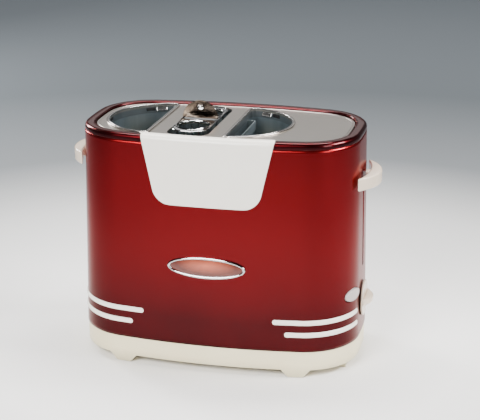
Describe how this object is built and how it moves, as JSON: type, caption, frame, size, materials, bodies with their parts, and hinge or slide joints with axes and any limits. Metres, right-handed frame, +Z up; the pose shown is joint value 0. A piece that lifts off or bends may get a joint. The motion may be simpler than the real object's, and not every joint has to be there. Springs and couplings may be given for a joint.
{
  "type": "hot dog toaster",
  "caption": "Red pop-up hot dog toaster with cream trim, a bun well on each side, a lift-out sausage cage in the middle, a side lever, a browning dial and a stop button.",
  "frame": {"origin": "centre of the base outline, on the surface that the feet stand on", "axes": "+Z up, +X towards the end with the lever and the dial, the decorated front faces -Y"},
  "size_m": [0.321, 0.173, 0.2607],
  "materials": {
    "base_plastic": "smooth cream moulding",
    "rubber": "matte",
    "zinc_sheet": "plain plated sheet",
    "screw_steel": "bright",
    "tray_steel": "satin",
    "gland_plastic": "matte black moulding",
    "red_paint": "high gloss red enamel",
    "brushed_top": "fine brushed",
    "liner_steel": "smooth sheet",
    "mica_board": "flaky pressed mica",
    "heater_wire": "oxidised ribbon",
    "rod_steel": "ground and polished",
    "magnet_block": "moulded",
    "spring_steel": "spring wire",
    "cage_chrome": "polished",
    "tab_steel": "bright satin",
    "cream_plastic": "smooth cream moulding",
    "board_green": "laminate",
    "button_plastic": "smooth moulding",
    "cream_trim": "satin cream paint",
    "plaque_enamel": "glossy enamel"
  },
  "bodies": {
    "housing": {"base_skirt": "base_plastic", "rubber_pads": "rubber", "bottom_cover": "zinc_sheet", "bottom_screws": "screw_steel", "tray_rails": "zinc_sheet", "cord_gland": "gland_plastic", "chassis_frame": "zinc_sheet", "outer_shell": "red_paint", "top_rim": "red_paint", "top_plate": "brushed_top", "left_well_liner": "liner_steel", "right_well_liner": "liner_steel", "left_bun_guard": "liner_steel", "right_bun_guard": "liner_steel", "cage_well_collar": "liner_steel", "left_heater_board": "mica_board", "right_heater_board": "mica_board", "left_heater_ribbon": "heater_wire", "right_heater_ribbon": "heater_wire", "mechanism_wall": "zinc_sheet", "guide_rods": "rod_steel", "rod_bracket": "zinc_sheet", "left_heat_shield": "zinc_sheet", "latch_magnet": "magnet_block", "pull_up_spring": "spring_steel", "left_handle": "cream_plastic", "handle_screws": "screw_steel", "potentiometer": "gland_plastic", "circuit_board": "board_green", "board_bracket": "zinc_sheet", "board_parts": "magnet_block", "button_post": "gland_plastic", "stop_switch": "magnet_block", "button_spring": "spring_steel", "upper_trim_left": "cream_trim", "upper_trim_front": "cream_trim", "upper_trim_rear": "cream_trim", "lower_trim_left": "cream_trim", "lower_trim_front": "cream_trim", "lower_trim_rear": "cream_trim", "badge_plate": "cream_trim", "ornament_frame": "cage_chrome", "ornament_enamel": "plaque_enamel"},
    "carriage": {"carriage_bracket": "zinc_sheet", "lift_spine": "zinc_sheet", "left_bun_lifter": "liner_steel", "right_bun_lifter": "liner_steel", "lever_stem": "zinc_sheet", "latch_plate": "zinc_sheet", "lever_grip": "cream_plastic"},
    "cage": {"cage_flange": "cage_chrome", "cage_baskets": "cage_chrome", "cage_handle": "tab_steel"},
    "dial": {"browning_dial": "cream_plastic", "dial_shaft": "rod_steel"},
    "button": {"stop_button": "button_plastic"},
    "tray": {"crumb_tray": "tray_steel"}
  },
  "joints": [
    {"name": "carriage_slide", "type": "slide", "parent": "housing", "child": "carriage", "axis": [0, 0, -1], "range_m": [0, 0.088], "stiffness_N_per_m": 60, "springref_m": -0.12, "deforming": ["pull_up_spring"]},
    {"name": "cage_lift", "type": "slide", "parent": "carriage", "child": "cage", "axis": [0, 0, 1], "range_m": [0, 0.15]},
    {"name": "dial_turn", "type": "hinge", "parent": "housing", "child": "dial", "pos_m": [0.145, 0, 0.0625], "axis": [1, 0, 0], "range_deg": [-130, 130]},
    {"name": "stop_button_press", "type": "slide", "parent": "housing", "child": "button", "axis": [-0.9397, 0.342, 0], "range_m": [0, 0.0025], "stiffness_N_per_m": 600, "springref_m": -0.002},
    {"name": "crumb_tray_slide", "type": "slide", "parent": "housing", "child": "tray", "axis": [0, 1, 0], "range_m": [0, 0.14]}
  ]
}
